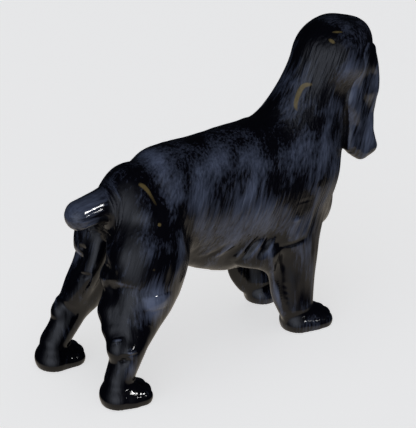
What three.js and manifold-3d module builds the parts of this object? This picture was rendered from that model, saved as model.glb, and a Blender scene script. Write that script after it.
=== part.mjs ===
// A glazed china spaniel, made of nine slip castings that are luted together before firing.
// The frame is millimetres, +Z up, the nose towards -Y and the dog's left side towards +X.
// Every form is a loft, an oval section carried along a bone line. Neighbouring forms run into
// each other with a fillet, as the modeller's thumb leaves them in the clay.
import * as THREE from "three";
import Module from "manifold-3d";

const wasm = await Module();
wasm.setup();

// Sizes of the trunk
const rumpTop = 113;
const loinTop = 116.5;
const backTop = 117.5;
const withersTop = 118;
const chestBottom = 49;
const coatBottom = 41;
const rumpHalfWidth = 17.5;
const hipHalfWidth = 21.5;
const loinHalfWidth = 22.5;
const ribHalfWidth = 26;
const chestHalfWidth = 24;
const rumpBack = 38;
const breastForward = 58.5;

// Sizes of the neck and the head
const crownTop = 162;
const neckHalfWidth = 16.5;
const neckHalfDepth = 17.5;
const skullForward = 89;
const skullHalfWidth = 18.2;
const skullHalfLength = 20.5;
const skullHalfHeight = 16.5;
const skullSquareness = 2.6;
const headTurnDegrees = 35;
const noseForward = 37;
const muzzleHalfWidth = 8.5;
const muzzleHalfHeight = 10.5;
const eyeRadius = 3.2;
const noseHalfWidth = 4.2;

// Sizes of the ears
const earTop = 3;
const earBase = 16.5;
const earLength = 1.36 * (crownTop - withersTop);
const strandHalfThickness = 4;
const strandLengths = [0.85, 0.93, 1, 0.98];
const waveLength = 21;
const waveHeight = 0.5;

// Sizes of the legs and paws
const rightForeLegForward = 52.5;
const leftForeLegForward = 55;
const foreLegSpread = 18;
const stifleSpread = 19;
const rightHindPawBack = 61.5;
const leftHindPawBack = 69.5;
const rightHockBack = 58.5;
const leftHockBack = 61.5;
const rightHindPawSpread = 27;
const leftHindPawSpread = 22.5;
const hockHeight = 28;
const pasternHalfWidth = 7.5;
const pawHalfWidth = 11;
const forePawLength = 32;
const hindPawLength = 30;
const toeRadius = 4.2;
const toesPerPaw = 4;

// Sizes of the tail
const tailRootBack = 50;
const tailTipBack = 68;
const tailHeight = 94;
const tailHalfThickness = 8;

// The shell, the lute joints and the vent
const wall = 3.5;
const luteGap = 0.3;
const earClearance = 0.5;
const foreLegCut = 46;
const hindLegCut = 62;
const ventRadius = 5;
const ventForward = 2;

// How finely each casting is faceted
const coarse = 5.6;
const middling = 3.25;
const fine = 3.6;
const hollowCell = 6;

// A point or a direction of the dog as a vector of the part's frame.
function at(forward, left, up) {
  return new THREE.Vector3(left, -forward, up);
}

// Distance to an ellipsoid with half sizes a, b and c, close to exact near its surface.
function oval(x, y, z, a, b, c) {
  const k0 = Math.hypot(x / a, y / b, z / c);
  const k1 = Math.hypot(x / (a * a), y / (b * b), z / (c * c));
  return k1 > 0 ? (k0 * (k0 - 1)) / k1 : -Math.min(a, b, c);
}

// The same for an oval that is squarer than an ellipse: a power of 2 gives the ellipsoid itself.
function squareOval(x, y, z, a, b, c, power) {
  const [u, v, w] = [Math.abs(x / a), Math.abs(y / b), Math.abs(z / c)];
  const k0 = (u ** power + v ** power + w ** power) ** (1 / power);
  const k1 = Math.hypot(u ** (power - 1) / a, v ** (power - 1) / b, w ** (power - 1) / c);
  return k1 > 0 ? ((k0 - 1) * k0 ** (power - 1)) / k1 : -Math.min(a, b, c);
}

// Further away than this, a form can't take part in a fillet and only its box is measured.
const reach = 20;

// Carries an oval section along a smooth line through stations.
// A station is [forward, left, up, half width, half depth]; side is the direction of the width.
function loft(stations, side = at(0, 1, 0), stepsBetween = 4) {
  const line = new THREE.CatmullRomCurve3(stations.map(([f, l, u]) => at(f, l, u)), false, "centripetal");
  const sizes = new THREE.CatmullRomCurve3(
    stations.map(([, , , width, depth]) => new THREE.Vector3(width, depth, 0)),
    false,
    "catmullrom",
    0.5,
  );
  const count = (stations.length - 1) * stepsBetween;
  const pieces = [];
  const box = new THREE.Box3();
  for (let i = 0; i < count; i += 1) {
    const a = line.getPoint(i / count);
    const b = line.getPoint((i + 1) / count);
    const ra = sizes.getPoint(i / count);
    const rb = sizes.getPoint((i + 1) / count);
    const along = b.clone().sub(a);
    const t = along.clone().normalize();
    const s = side.clone().addScaledVector(t, -side.dot(t)).normalize();
    const n = t.clone().cross(s);
    pieces.push({ a, along, length2: along.lengthSq(), t, s, n, ra, rb });
    const largest = Math.max(ra.x, ra.y, rb.x, rb.y);
    box.union(new THREE.Box3().setFromPoints([a, b]).expandByScalar(largest));
  }
  return (x, y, z) => {
    const outX = Math.max(box.min.x - x, x - box.max.x, 0);
    const outY = Math.max(box.min.y - y, y - box.max.y, 0);
    const outZ = Math.max(box.min.z - z, z - box.max.z, 0);
    const out = Math.max(outX, outY, outZ);
    if (out > reach) return out;
    let nearest = Infinity;
    for (const p of pieces) {
      const px = x - p.a.x;
      const py = y - p.a.y;
      const pz = z - p.a.z;
      const h = Math.min(1, Math.max(0, (px * p.along.x + py * p.along.y + pz * p.along.z) / p.length2));
      const dx = px - h * p.along.x;
      const dy = py - h * p.along.y;
      const dz = pz - h * p.along.z;
      const rs = p.ra.x + h * (p.rb.x - p.ra.x);
      const rn = p.ra.y + h * (p.rb.y - p.ra.y);
      const across = dx * p.s.x + dy * p.s.y + dz * p.s.z;
      const deep = dx * p.n.x + dy * p.n.y + dz * p.n.z;
      const beyond = dx * p.t.x + dy * p.t.y + dz * p.t.z;
      nearest = Math.min(nearest, oval(across, deep, beyond, rs, rn, Math.min(rs, rn)));
    }
    return nearest;
  };
}

// A single oval lump; its length lies level, along the given direction [forward, left].
function lump(point, [halfLength, halfWidth, halfHeight], along = [1, 0], power = 2) {
  const centre = at(...point);
  const u = at(...along, 0).normalize();
  return (x, y, z) => {
    const px = x - centre.x;
    const py = y - centre.y;
    const pz = z - centre.z;
    const long = px * u.x + py * u.y;
    const wide = px * u.y - py * u.x;
    if (power === 2) return oval(long, wide, pz, halfLength, halfWidth, halfHeight);
    return squareOval(long, wide, pz, halfLength, halfWidth, halfHeight, power);
  };
}

// The union of two distances with a fillet of about radius in the corner between them.
function fillet(radius, a, b) {
  const h = Math.max(radius - Math.abs(a - b), 0) / radius;
  return Math.min(a, b) - (h * h * radius) / 4;
}

// Takes b out of a, with its rim eased over about radius.
function press(radius, a, b) {
  return -fillet(radius, -a, b);
}

// Trunk and the long coat below it
const trunkBase = loft([
  [-rumpBack, 0, rumpTop - 22, rumpHalfWidth, 22],
  [-27, 0, loinTop - 27, hipHalfWidth, 27],
  [-14, 0, backTop - 29, loinHalfWidth, 29],
  [3, 0, backTop - 32, 23.5, 32],
  [20, 0, (backTop + chestBottom) / 2, ribHalfWidth, (backTop - chestBottom) / 2],
  [40, 0, (withersTop + chestBottom) / 2 - 1, ribHalfWidth, (withersTop - chestBottom) / 2 - 1],
  [breastForward, 0, 85, chestHalfWidth + 1, 27],
]);
const coat = loft([
  [-16, 0, coatBottom + 23, 9, 8],
  [2, 0, coatBottom + 13.5, 11, 10],
  [22, 0, coatBottom + 7, 11.5, 10],
  [48, 0, coatBottom + 12, 13, 10],
  [70, 0, coatBottom + 22, 15, 16],
]);

// Neck, from inside the breast up into the skull
const skullMiddle = crownTop - skullHalfHeight;
const neck = loft([
  [breastForward + 1.5, 0, withersTop - 24, 22, 25],
  [breastForward + 10, 0, withersTop - 8.5, 20, 23.5],
  [skullForward - 13, 0, skullMiddle - 20, neckHalfWidth + 1, neckHalfDepth + 3],
  [skullForward - 6.5, 0, skullMiddle - 6, neckHalfWidth - 0.5, neckHalfDepth + 0.8],
]);
const neckPlane = { point: at(breastForward + 1.5, 0, withersTop - 12), normal: at(0.55, 0, 0.83) };

// Head
const turn = (headTurnDegrees * Math.PI) / 180;
const headSide = at(-Math.sin(turn), Math.cos(turn), 0);

// A point of the head, measured from the middle of the skull, as [forward, left, up] of the dog.
function ofHead(forward, left, up) {
  return [
    skullForward + forward * Math.cos(turn) - left * Math.sin(turn),
    forward * Math.sin(turn) + left * Math.cos(turn),
    skullMiddle + up,
  ];
}

// An oval lump whose length lies along the turned head.
function headLump(point, halfSizes, power = 2) {
  return lump(ofHead(...point), halfSizes, [Math.cos(turn), Math.sin(turn)], power);
}

const skull = headLump([-1, 0, 0], [skullHalfLength, skullHalfWidth, skullHalfHeight], skullSquareness);
const brow = headLump([10, 0, 0.5], [9, 12.5, 7.6]);
const cheeks = headLump([6, 0, -9], [12, 15, 10]);
const muzzle = loft([
  [...ofHead(8, 0, -9), muzzleHalfWidth + 2, muzzleHalfHeight],
  [...ofHead(20, 0, -10), muzzleHalfWidth + 0.5, muzzleHalfHeight],
  [...ofHead(noseForward - muzzleHalfWidth, 0, -10.5), muzzleHalfWidth, muzzleHalfHeight - 0.5],
], headSide);
const nose = headLump([noseForward - 1.5, 0, -4], [3.2, noseHalfWidth, 3.4]);
const eyeSpots = [-1, 1].map((side) => [17.5, side * 9.6, 0.5]);
const sockets = eyeSpots.map(([f, l, u]) => headLump([f + 2.5, l * 1.1, u], [5, 4.5, 4]));
const eyes = eyeSpots.map(([f, l, u]) => headLump([f - 1.2, l * 0.93, u], [eyeRadius, eyeRadius, eyeRadius]));
const mouth = loft([
  [...ofHead(14, 11, -17), 1.2, 1.2],
  [...ofHead(24, 10, -15.5), 1.2, 1.2],
  [...ofHead(noseForward + 1.5, 0, -13), 1.2, 1.2],
  [...ofHead(24, -10, -15.5), 1.2, 1.2],
  [...ofHead(14, -11, -17), 1.2, 1.2],
], at(0, 0, 1), 3);

function head(x, y, z) {
  let d = fillet(7, skull(x, y, z), muzzle(x, y, z));
  d = fillet(6, fillet(6, d, brow(x, y, z)), cheeks(x, y, z));
  for (const socket of sockets) d = press(4, d, socket(x, y, z));
  for (const eye of eyes) d = fillet(0.6, d, eye(x, y, z));
  d = press(2, d, mouth(x, y, z));
  return fillet(1, d, nose(x, y, z));
}

// Legs; side is 1 for the left and -1 for the right, and front is where the foreleg stands
function foreleg(side, front) {
  const spread = side * foreLegSpread;
  return loft([
    [breastForward - 9, side * 13, 84, 13, 24],
    [front - 1.3, side * 16, 64, 11, 18.6],
    [front + 0.8, side * 17.5, 46, 9, 12.2],
    [front + 0.5, spread, 30, 7.8, 10.5],
    [front + 0.5, spread, 14, 7.8, 9.5],
  ]);
}

function hindLeg(side, hockBack, pawBack, pawSpread) {
  return loft([
    [-33, side * 12, 86, 13, 17],
    [-38, side * 17, 71, 14, 21.5],
    [-42, side * stifleSpread, 54, 12.5, 18.5],
    [-hockBack + 7.5, side * (stifleSpread + pawSpread) / 2, hockHeight + 11, 9.7, 13],
    [-hockBack, side * pawSpread, hockHeight, 7.8, 8.5],
    [-pawBack - 3, side * pawSpread, hockHeight - 15, pasternHalfWidth - 0.3, 7.4],
  ]);
}

// The paw of a leg whose pastern comes down at forward and left.
function paw(forward, left, side, length) {
  const heel = [forward - 1, left, 4, pawHalfWidth - 1, 9];
  const ball = [forward + length - 3 * pawHalfWidth + 8, left + side, 3, pawHalfWidth - 0.5, 9];
  const pad = loft([heel, ball]);
  const toes = [];
  for (let i = 0; i < toesPerPaw; i += 1) {
    const s = i / (toesPerPaw - 1) - 0.5;
    const reachOut = 6.2 - 9 * s * s;
    toes.push(lump([ball[0] + reachOut, ball[1] + s * 2 * (pawHalfWidth - toeRadius), 3.2],
      [toeRadius + 1.4, toeRadius, toeRadius + 1.2]));
  }
  return (x, y, z) => {
    let d = pad(x, y, z);
    for (const toe of toes) d = fillet(1.2, d, toe(x, y, z));
    return d;
  };
}

// The point of the hock, a knob at the back of the joint.
function hock(hockBack, left) {
  return lump([-hockBack - 6.5, left, hockHeight + 2], [5, 4.6, 5.5]);
}

// The breech hair behind the inside of the thigh, a ridge that swells into three locks.
function breech(side) {
  const swell = [4, 6.8, 5, 7.2, 5.2, 7.4, 5];
  const ridge = swell.map((r, i) => {
    const t = i / (swell.length - 1);
    const out = 13 - 5 * Math.sin(Math.PI * t);
    return [-47.5 - 11.5 * t ** 0.8, side * out, 82 - 44 * t, r, r];
  });
  return loft(ridge, at(0, 1, 0), 2);
}

// The fringe of hair down the back of a foreleg, a fin that draws in above the heel.
function fringe(side) {
  const spread = side * foreLegSpread;
  const fuller = side > 0 ? 1.5 : 0;
  return loft([
    [rightForeLegForward - 20, spread, 50, 4.5, 7 + fuller],
    [rightForeLegForward - 14, spread, 38, 3.8, 5 + fuller],
    [rightForeLegForward - 11.3, spread, 24, 3.4, 4.2 + 2 * fuller],
    [rightForeLegForward - 6.5, spread, 13, 3.2, 4.2 + fuller],
    [rightForeLegForward - 0.5, spread, 5, 3.2, 4],
  ]);
}

// The lock of hair that hangs behind the elbow.
function elbowLock(side) {
  return lump([rightForeLegForward - 25, side * 16, 52], [13, 6.5, 9], [1, 0.2 * side]);
}

// Tail
const tailForm = loft([
  [-tailRootBack + 14, 0, tailHeight + 2, 9, 9],
  [-tailRootBack - 4, 0, tailHeight + 1.5, tailHalfThickness, tailHalfThickness],
  [-tailTipBack, 0, tailHeight - 0.5, tailHalfThickness - 0.5, tailHalfThickness - 0.5],
]);

const limbs = [];
for (const side of [-1, 1]) {
  const front = side < 0 ? rightForeLegForward : leftForeLegForward;
  const back = side < 0 ? rightHindPawBack : leftHindPawBack;
  const hockBack = side < 0 ? rightHockBack : leftHockBack;
  const spread = side < 0 ? rightHindPawSpread : leftHindPawSpread;
  limbs.push([7, foreleg(side, front)]);
  limbs.push([3, paw(front + 2, side * foreLegSpread, side, forePawLength)]);
  limbs.push([7, hindLeg(side, hockBack, back, spread)]);
  limbs.push([3, paw(-back - 3.3, side * spread, side, hindPawLength)]);
  limbs.push([4, hock(hockBack, side * spread)]);
  limbs.push([3, breech(side)]);
  limbs.push([3, fringe(side)]);
  limbs.push([6, elbowLock(side)]);
}

// The inside of the shell follows these forms at the depth of the wall.
function core(x, y, z) {
  const d = fillet(10, trunkBase(x, y, z), coat(x, y, z));
  return fillet(9, fillet(14, d, neck(x, y, z)), skull(x, y, z));
}

// The dog without its ears, as one distance.
function body(x, y, z) {
  let d = fillet(10, trunkBase(x, y, z), coat(x, y, z));
  d = fillet(14, d, neck(x, y, z));
  d = fillet(9, d, head(x, y, z));
  for (const [radius, limb] of limbs) d = fillet(radius, d, limb(x, y, z));
  return fillet(5, d, tailForm(x, y, z));
}

// How far the hem of the ear is drawn in at each height below the middle of the skull
const hem = [[-7, 0], [-14, 0.6], [-21, 0], [-28, 1.3], [-35, 2.4], [-44, 1.9], [-48, 1.2], [-53, 0.2], [-60, 0.8]];

function hemAt(height) {
  let i = 1;
  while (i < hem.length - 1 && height < hem[i][0]) i += 1;
  const [[h0, in0], [h1, in1]] = [hem[i - 1], hem[i]];
  return in0 + (in1 - in0) * THREE.MathUtils.clamp((height - h0) / (h1 - h0), 0, 1);
}

// An ear as a row of strands that flare from the skull, then hang back in towards the neck.
// The right ear hangs free; the left one, on the inside of the turn of the head, lies on the neck.
function earForm(side) {
  const rear = side < 0 ? [-10.5, 12] : [-5, 22];
  const front = side < 0 ? [5, 19] : [10, 19];
  const strands = [];
  for (let j = 0; j < strandLengths.length; j += 1) {
    const s = j / (strandLengths.length - 1);
    const stations = [];
    for (let i = 0; i <= 12; i += 1) {
      const t = i / 12;
      const down = earTop - t * strandLengths[j] * earLength - 3 * Math.abs(s - 0.4) * (1 - t);
      const opened = Math.min(1, 0.55 + 1.6 * t) * (1 - 0.3 * THREE.MathUtils.smoothstep(t, 0.45, 0.85));
      const wave = waveHeight * Math.sin((2 * Math.PI * down) / waveLength + 2 * j) * Math.min(1, 3 * t);
      const along = rear[0] + (front[0] - rear[0]) * (0.4 + (s - 0.4) * opened);
      const full = rear[1] + s * (front[1] - rear[1]);
      const flare = (full - earBase) * Math.min(1, side < 0 ? 0.3 + 2.5 * t : 1.6 * t);
      const out = earBase + flare - s * hemAt(down);
      const r = strandHalfThickness * (1 - 0.12 * t * t * t);
      stations.push([...ofHead(along + wave, side * out, down), r, r]);
    }
    strands.push(loft(stations, headSide, 1));
  }
  return (x, y, z) => {
    let d = strands[0](x, y, z);
    for (const strand of strands.slice(1)) d = fillet(2, d, strand(x, y, z));
    return d;
  };
}

// A form's distance falls off by one for every millimetre along this direction.
function slope(form, p, step) {
  const g = new THREE.Vector3(
    form(p.x + step, p.y, p.z) - form(p.x - step, p.y, p.z),
    form(p.x, p.y + step, p.z) - form(p.x, p.y - step, p.z),
    form(p.x, p.y, p.z + step) - form(p.x, p.y, p.z - step),
  );
  return g.divideScalar(2 * step);
}

// The corners of a grid cell by number; each bit of the number is a step along one axis.
const corners = [0, 1, 2, 3, 4, 5, 6, 7].map((c) => [c & 1, (c >> 1) & 1, c >> 2]);
const edges = [];
for (const bit of [1, 2, 4]) for (let a = 0; a < 8; a += 1) if (!(a & bit)) edges.push([a, a | bit]);

// Pulls back any inside corner that would touch another across a cell's face only by a point.
function partPinches(values, step, tiny) {
  let changed = true;
  while (changed) {
    changed = false;
    for (let p = 0; p < values.length - step[0] - step[1] - step[2]; p += 1) {
      for (const [u, v] of [[step[0], step[1]], [step[1], step[2]], [step[2], step[0]]]) {
        const inside = values[p] < 0;
        if (inside !== values[p + u + v] < 0 || inside === values[p + u] < 0) continue;
        if (inside === values[p + v] < 0) continue;
        const [a, b] = inside ? [p, p + u + v] : [p + u, p + v];
        values[values[a] > values[b] ? a : b] = tiny;
        changed = true;
      }
    }
  }
}

// Numbers the groups of cell corners that are joined by edges with the same sign.
function groups(v) {
  const label = [0, 1, 2, 3, 4, 5, 6, 7];
  for (let round = 0; round < 3; round += 1) {
    for (const [a, b] of edges) {
      if (v[a] < 0 !== v[b] < 0) continue;
      label[a] = Math.min(label[a], label[b]);
      label[b] = label[a];
    }
  }
  return label;
}

// Wraps the surface where form is zero in a closed mesh, with one vertex for every sheet of it
// that passes through a cell; each vertex is then moved onto the surface itself.
function skin(form, low, high, cell) {
  const size = high.clone().sub(low);
  const [nx, ny, nz] = [size.x, size.y, size.z].map((length) => Math.ceil(length / cell) + 1);
  const step = [1, nx, nx * ny];
  const index = (i, j, k) => i + nx * (j + ny * k);
  const values = new Float64Array(nx * ny * nz);
  for (let k = 0; k < nz; k += 1) {
    for (let j = 0; j < ny; j += 1) {
      for (let i = 0; i < nx; i += 1) {
        const rim = Math.min(i, j, k, nx - 1 - i, ny - 1 - j, nz - 1 - k) === 0;
        const d = form(low.x + i * cell, low.y + j * cell, low.z + k * cell);
        values[index(i, j, k)] = rim ? Math.max(d, cell / 2) : d;
      }
    }
  }
  partPinches(values, step, cell / 50);
  const cells = new Map();
  const points = [];
  const p = new THREE.Vector3();
  for (let k = 0; k < nz - 1; k += 1) {
    for (let j = 0; j < ny - 1; j += 1) {
      for (let i = 0; i < nx - 1; i += 1) {
        const v = corners.map(([a, b, c]) => values[index(i + a, j + b, k + c)]);
        const inside = v.filter((d) => d < 0).length;
        if (inside === 0 || inside === 8) continue;
        const label = groups(v);
        const sheets = new Map();
        for (const [a, b] of edges) {
          if (v[a] < 0 === v[b] < 0) continue;
          const key = label[a] < label[b] ? 8 * label[a] + label[b] : 8 * label[b] + label[a];
          if (!sheets.has(key)) sheets.set(key, { sum: new THREE.Vector3(), crossings: 0 });
          const sheet = sheets.get(key);
          p.set(...corners[b]).sub(new THREE.Vector3(...corners[a]));
          sheet.sum.add(new THREE.Vector3(...corners[a])).addScaledVector(p, v[a] / (v[a] - v[b]));
          sheet.crossings += 1;
        }
        const atRim = Math.min(i, j, k, nx - 2 - i, ny - 2 - j, nz - 2 - k) === 0;
        for (const sheet of sheets.values()) {
          p.copy(sheet.sum).divideScalar(sheet.crossings);
          p.set(i + p.x, j + p.y, k + p.z).multiplyScalar(cell).add(low);
          for (let round = 0; round < 2 && !atRim; round += 1) {
            const g = slope(form, p, cell / 20);
            const shift = -form(p.x, p.y, p.z) / Math.max(g.lengthSq(), 0.2);
            p.addScaledVector(g, Math.max(-0.3 * cell, Math.min(0.3 * cell, shift)));
          }
          sheet.vertex = points.length / 3;
          points.push(p.x, p.y, p.z);
        }
        cells.set(index(i, j, k), { label, sheets });
      }
    }
  }
  const apart = (a, b) => Math.hypot(
    points[3 * a] - points[3 * b],
    points[3 * a + 1] - points[3 * b + 1],
    points[3 * a + 2] - points[3 * b + 2],
  );
  const faces = [];
  for (let here = 0; here < values.length - step[2]; here += 1) {
    for (let axis = 0; axis < 3; axis += 1) {
      const inside = values[here] < 0;
      if (inside === values[here + step[axis]] < 0) continue;
      const u = (axis + 1) % 3;
      const v = (axis + 2) % 3;
      const ring = [[1, 1], [0, 1], [0, 0], [1, 0]].map(([du, dv]) => {
        const { label, sheets } = cells.get(here - du * step[u] - dv * step[v]);
        const a = (du << u) | (dv << v);
        const b = a | (1 << axis);
        const key = label[a] < label[b] ? 8 * label[a] + label[b] : 8 * label[b] + label[a];
        return sheets.get(key).vertex;
      });
      if (!inside) ring.reverse();
      const [a, b, c, d] = ring;
      if (apart(a, c) < apart(b, d)) faces.push(a, b, c, a, c, d);
      else faces.push(b, c, d, b, d, a);
    }
  }
  return solid(Float32Array.from(points), Uint32Array.from(faces));
}

// Hands a closed mesh over for joining and cutting.
function solid(points, faces) {
  return new wasm.Manifold(new wasm.Mesh({ numProp: 3, vertProperties: points, triVerts: faces }));
}

// A plain geometry, placed by a matrix, as a solid.
function solidOf(geometry, matrix) {
  const placed = geometry.clone().applyMatrix4(matrix);
  const position = placed.getAttribute("position");
  const seen = new Map();
  const points = [];
  const number = [];
  for (let i = 0; i < position.count; i += 1) {
    const p = [position.getX(i), position.getY(i), position.getZ(i)];
    const key = p.map((v) => Math.round(v * 100)).join(" ");
    if (!seen.has(key)) {
      seen.set(key, points.length / 3);
      points.push(...p);
    }
    number.push(seen.get(key));
  }
  const faces = [];
  const order = placed.index ? placed.index.array : number.map((_, i) => i);
  for (let i = 0; i < order.length; i += 3) {
    const [a, b, c] = [number[order[i]], number[order[i + 1]], number[order[i + 2]]];
    if (a !== b && b !== c && c !== a) faces.push(a, b, c);
  }
  return solid(Float32Array.from(points), Uint32Array.from(faces));
}

// Everything on the side of a plane that its normal points to, moved along it by offset.
function beyondPlane({ point, normal }, offset = 0) {
  const size = 500;
  const n = normal.clone().normalize();
  const turnTo = new THREE.Quaternion().setFromUnitVectors(new THREE.Vector3(0, 0, 1), n);
  const centre = point.clone().addScaledVector(n, size / 2 + offset);
  const matrix = new THREE.Matrix4().compose(centre, turnTo, new THREE.Vector3(1, 1, 1));
  return solidOf(new THREE.BoxGeometry(size, size, size), matrix);
}

// The planes where the castings meet
const half = luteGap / 2;
const tailPlane = { point: at(-tailRootBack - 8.5, 0, tailHeight), normal: at(-1, 0, 0.2) };
const foreLegPlanes = [-1, 1].map((side) => (
  { point: at(rightForeLegForward, side * foreLegSpread, foreLegCut), normal: at(0.3, 0.8 * side, -1) }));
const hindLegPlanes = [-1, 1].map((side) => (
  { point: at(-42, side * stifleSpread, hindLegCut), normal: at(-0.5, 0, -1) }));
const ground = { point: at(0, 0, 0), normal: at(0, 0, 1) };
const middle = { point: at(0, 0, 0), normal: at(0, 1, 0) };
const waist = { point: at(10, 0, 0), normal: at(1, 0, 0) };

function reversed({ point, normal }) {
  return { point, normal: normal.clone().negate() };
}

// Trims a blank to the side that every plane's normal points to, less half the lute gap.
function trim(blank, planes) {
  let result = blank;
  for (const plane of planes) result = result.intersect(beyondPlane(plane, half));
  return result;
}

function box(fromForward, fromLeft, fromUp, toForward, toLeft, toUp) {
  const corners = [at(fromForward, fromLeft, fromUp), at(toForward, toLeft, toUp)];
  return new THREE.Box3().setFromPoints(corners);
}

// The dog's outer limits, with room around them for a skin to close
const room = 9;
const hindmost = leftHindPawBack + 3 * room;
const foremost = skullForward + noseForward + room;
const outmost = rightHindPawSpread + 2 * room;
const highest = crownTop + room;
const everything = box(-hindmost, -outmost, -room, foremost, outmost, highest);
const cavity = skin((x, y, z) => core(x, y, z) + wall, everything.min, everything.max, hollowCell);
const ventTurn = new THREE.Quaternion().setFromAxisAngle(new THREE.Vector3(1, 0, 0), Math.PI / 2);
const vent = solidOf(
  new THREE.CylinderGeometry(ventRadius, ventRadius, 40, 20),
  new THREE.Matrix4().compose(at(ventForward, 0, coatBottom + 10), ventTurn, new THREE.Vector3(1, 1, 1)),
);

const castings = {};

// Trunk: everything that the other castings leave
const trunkRegion = box(-rumpBack - 34, -outmost, hockHeight + 2, breastForward + 34, outmost, withersTop + 12);
let trunk = skin(body, trunkRegion.min, trunkRegion.max, coarse);
trunk = trim(trunk, [reversed(neckPlane), reversed(tailPlane)]);
for (const plane of foreLegPlanes) {
  const taken = beyondPlane(plane, -half).intersect(beyondPlane(waist));
  trunk = trunk.subtract(taken);
}
for (const plane of hindLegPlanes) {
  const taken = beyondPlane(plane, -half).subtract(beyondPlane(waist));
  trunk = trunk.subtract(taken);
}
castings.trunk = trunk.subtract(cavity).subtract(vent);

// Head with the neck
const headRegion = box(breastForward / 2, -outmost, withersTop - 38, foremost, outmost, highest);
const headBlank = trim(skin(body, headRegion.min, headRegion.max, middling), [neckPlane]);
castings.head = headBlank.subtract(cavity);

// Ears, seated on the head with the lute gap and clear of the breast
const seat = skin((x, y, z) => body(x, y, z) - luteGap, headRegion.min, headRegion.max, middling);
const breast = skin((x, y, z) => core(x, y, z) - luteGap - earClearance, trunkRegion.min, trunkRegion.max, coarse);
const earBottom = skullMiddle + earTop - earLength - 2 * room;
for (const side of [-1, 1]) {
  const form = earForm(side);
  const around = box(breastForward, side * outmost, earBottom, foremost, -side * room, highest);
  const blank = skin(form, around.min, around.max, fine);
  castings[side < 0 ? "ear_right" : "ear_left"] = blank.subtract(seat).subtract(breast);
}

// Tail
const tailRegion = box(
  -tailTipBack - 22, -2 * room, tailHeight - 2 * room, -tailRootBack + 5, 2 * room, tailHeight + 22);
castings.tail = trim(skin(body, tailRegion.min, tailRegion.max, fine), [tailPlane]);

// Legs
[-1, 1].forEach((side, i) => {
  const name = side < 0 ? "right" : "left";
  const inside = side < 0 ? reversed(middle) : middle;
  const foreRegion = box(
    rightForeLegForward / 2, 0, -room, leftForeLegForward + 40, side * outmost, foreLegCut + 16);
  const fore = skin(body, foreRegion.min, foreRegion.max, fine);
  castings[`foreleg_${name}`] = trim(fore, [foreLegPlanes[i], inside]).intersect(beyondPlane(ground));
  const hindRegion = box(-hindmost, 0, -room, -12, side * outmost, hindLegCut + 28);
  const hind = skin(body, hindRegion.min, hindRegion.max, fine);
  castings[`hind_leg_${name}`] = trim(hind, [hindLegPlanes[i], inside]).intersect(beyondPlane(ground));
});

// The figurine, standing on its bounding box's bottom centre
const figurine = new THREE.Group();
figurine.name = "figurine";
for (const [name, casting] of Object.entries(castings)) {
  const mesh = casting.getMesh();
  const stride = mesh.numProp;
  const points = new Float32Array((mesh.vertProperties.length / stride) * 3);
  for (let i = 0; i < points.length / 3; i += 1) {
    for (let axis = 0; axis < 3; axis += 1) points[3 * i + axis] = mesh.vertProperties[stride * i + axis];
  }
  const geometry = new THREE.BufferGeometry();
  geometry.setAttribute("position", new THREE.BufferAttribute(points, 3));
  geometry.setIndex(new THREE.BufferAttribute(mesh.triVerts, 1));
  geometry.computeVertexNormals();
  const glaze = new THREE.MeshStandardMaterial({ color: 0x1e212b, roughness: 0.12, metalness: 0 });
  const part = new THREE.Mesh(geometry, glaze);
  part.name = name;
  figurine.add(part);
}
const bounds = new THREE.Box3().setFromObject(figurine);
const centre = bounds.getCenter(new THREE.Vector3());
for (const part of figurine.children) part.geometry.translate(-centre.x, -centre.y, -bounds.min.z);
export default figurine;
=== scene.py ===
# %% [markdown]
# # A glazed china spaniel
#
# The real figure is an earthenware dog about 16 cm high. Its hollow trunk and head and its solid legs,
# ears and tail are cast apart, luted together with slip while they are damp, painted with a blue-black
# brushed glaze and fired, so that no joint shows. This script models the dog's skin the way that a
# modeller builds it up: simple forms first, melted into each other, then the hair, then the glaze.
#
# All lengths below are millimetres in the dog's own frame until a mesh is made, when they become metres.

# %% Load the frame
import math
from concurrent.futures import ThreadPoolExecutor

import bmesh
import bpy
import numpy as np
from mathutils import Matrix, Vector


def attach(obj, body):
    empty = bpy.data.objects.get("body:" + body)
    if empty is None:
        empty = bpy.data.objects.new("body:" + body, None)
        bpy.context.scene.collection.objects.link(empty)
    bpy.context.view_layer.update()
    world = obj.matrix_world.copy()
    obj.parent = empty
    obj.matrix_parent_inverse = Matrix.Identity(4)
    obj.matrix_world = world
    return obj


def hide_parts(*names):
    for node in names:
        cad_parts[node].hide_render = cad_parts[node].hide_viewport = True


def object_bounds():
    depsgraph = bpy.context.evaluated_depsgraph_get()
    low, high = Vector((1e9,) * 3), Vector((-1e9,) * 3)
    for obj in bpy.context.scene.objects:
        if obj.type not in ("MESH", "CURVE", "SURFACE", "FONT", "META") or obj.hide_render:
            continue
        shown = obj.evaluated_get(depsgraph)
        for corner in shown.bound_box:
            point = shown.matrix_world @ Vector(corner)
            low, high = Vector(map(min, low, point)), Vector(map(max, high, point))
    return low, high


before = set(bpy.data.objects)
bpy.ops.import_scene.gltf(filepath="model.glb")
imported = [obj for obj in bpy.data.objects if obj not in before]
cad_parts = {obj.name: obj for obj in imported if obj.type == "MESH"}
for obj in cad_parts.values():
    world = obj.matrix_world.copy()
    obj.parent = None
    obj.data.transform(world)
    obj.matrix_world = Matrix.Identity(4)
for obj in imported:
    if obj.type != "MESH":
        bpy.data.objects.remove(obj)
cad_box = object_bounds()
MM = 0.001
print("castings in the frame:", sorted(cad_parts))

# %% [markdown]
# ## Driving sizes
#
# These are the same few sizes that the solid castings are made from. Forward is towards the dog's
# chest, left is its own left, and up is the height above the shelf.

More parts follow.
